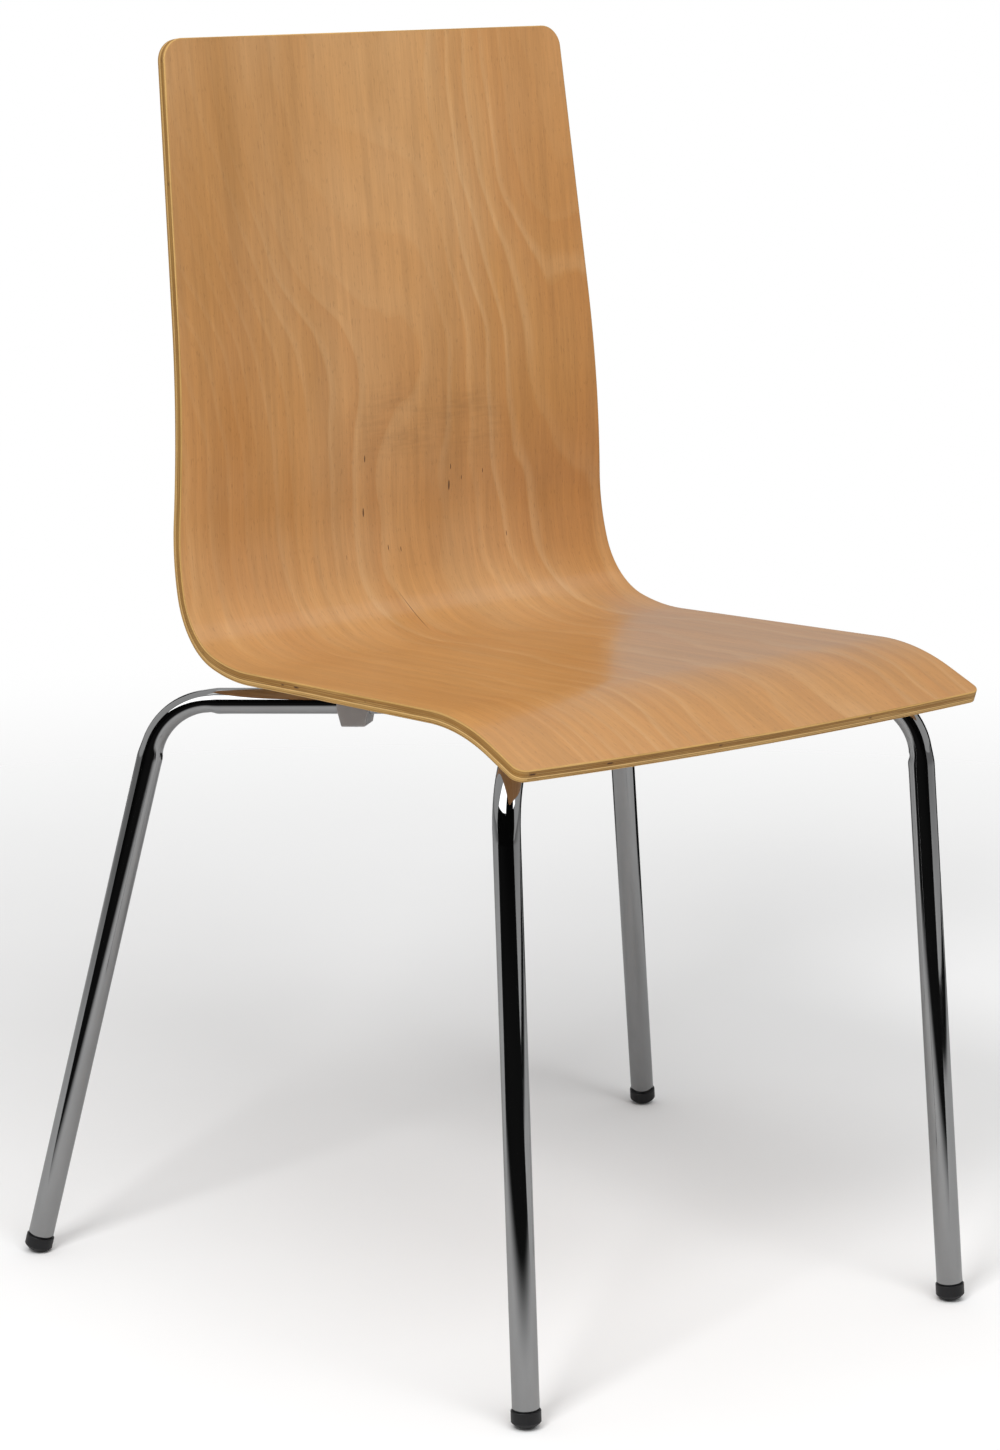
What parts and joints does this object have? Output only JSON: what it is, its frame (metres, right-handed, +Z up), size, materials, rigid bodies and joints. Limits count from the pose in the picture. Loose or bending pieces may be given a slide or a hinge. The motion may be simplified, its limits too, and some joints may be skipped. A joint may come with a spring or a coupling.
{
  "type": "stacking chair",
  "caption": "Stacking chair: one bent plywood seat and back shell on a chromed round-tube frame with splayed legs, plastic spacers and foot glides.",
  "frame": {"origin": "on the floor, in the middle of the chair's footprint", "axes": "+Z up, the chair faces -Y, +X is on the sitter's left"},
  "size_m": [0.5776, 0.4784, 0.8588],
  "materials": {
    "beech_plywood": "satin clear lacquer on honey-coloured beech veneer, pale layered edges",
    "chrome_tube": "bright chrome plating",
    "chrome_plate": "chrome plating, less polished, under the seat",
    "zinc_fastener": "bright zinc plating",
    "black_pad": "moulded matt black plastic",
    "grey_spacer": "moulded light grey plastic",
    "black_glide": "moulded black plastic, slightly worn underneath"
  },
  "bodies": {
    "root": {"seat_shell": "beech_plywood", "side_tube_right": "chrome_tube", "side_tube_left": "chrome_tube", "mounting_plate": "chrome_plate", "shell_pad": "black_pad", "shell_screws": "zinc_fastener", "screw_washers": "zinc_fastener", "shell_inserts": "zinc_fastener", "spacer_front_right": "grey_spacer", "foot_glide_front_right": "black_glide", "spacer_front_left": "grey_spacer", "foot_glide_front_left": "black_glide", "spacer_rear_right": "grey_spacer", "foot_glide_rear_right": "black_glide", "spacer_rear_left": "grey_spacer", "foot_glide_rear_left": "black_glide"}
  },
  "joints": []
}
